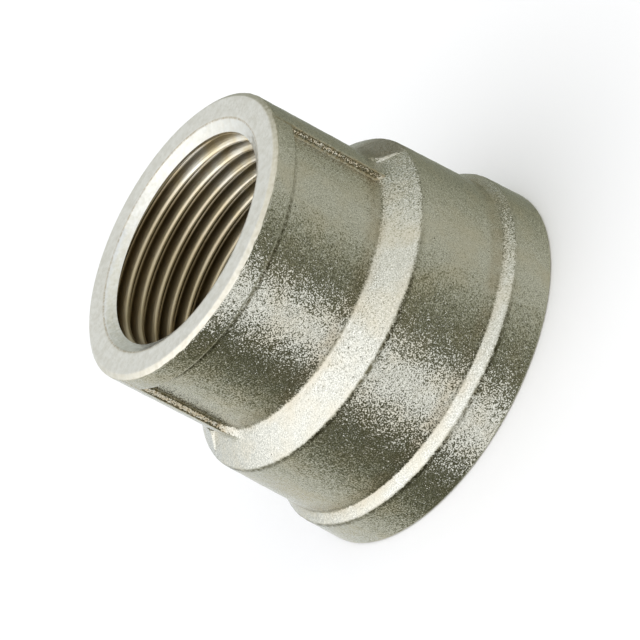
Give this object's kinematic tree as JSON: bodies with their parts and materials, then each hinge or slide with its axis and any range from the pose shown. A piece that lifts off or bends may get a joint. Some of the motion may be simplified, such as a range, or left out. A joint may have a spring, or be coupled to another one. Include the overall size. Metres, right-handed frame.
{
  "type": "reducing coupling",
  "caption": "Short stepped reducing pipe coupling with internal threads at both ends, a turned rim with wrench ribs on the small hub and a beaded band on the large end.",
  "frame": {"origin": "centre of the large end's face, on the bore axis; the coupling stands on that face", "axes": "+Z along the bore axis from the large end up to the small end; the two wrench ribs are on +X and -X; -Y is the side that the picture shows"},
  "size_m": [0.0512, 0.0512, 0.041],
  "materials": {
    "plated_brass": "nickel-plated cast brass, sand-cast grain outside, turned faces"
  },
  "bodies": {
    "root": {"coupling_body": "plated_brass"}
  },
  "joints": []
}
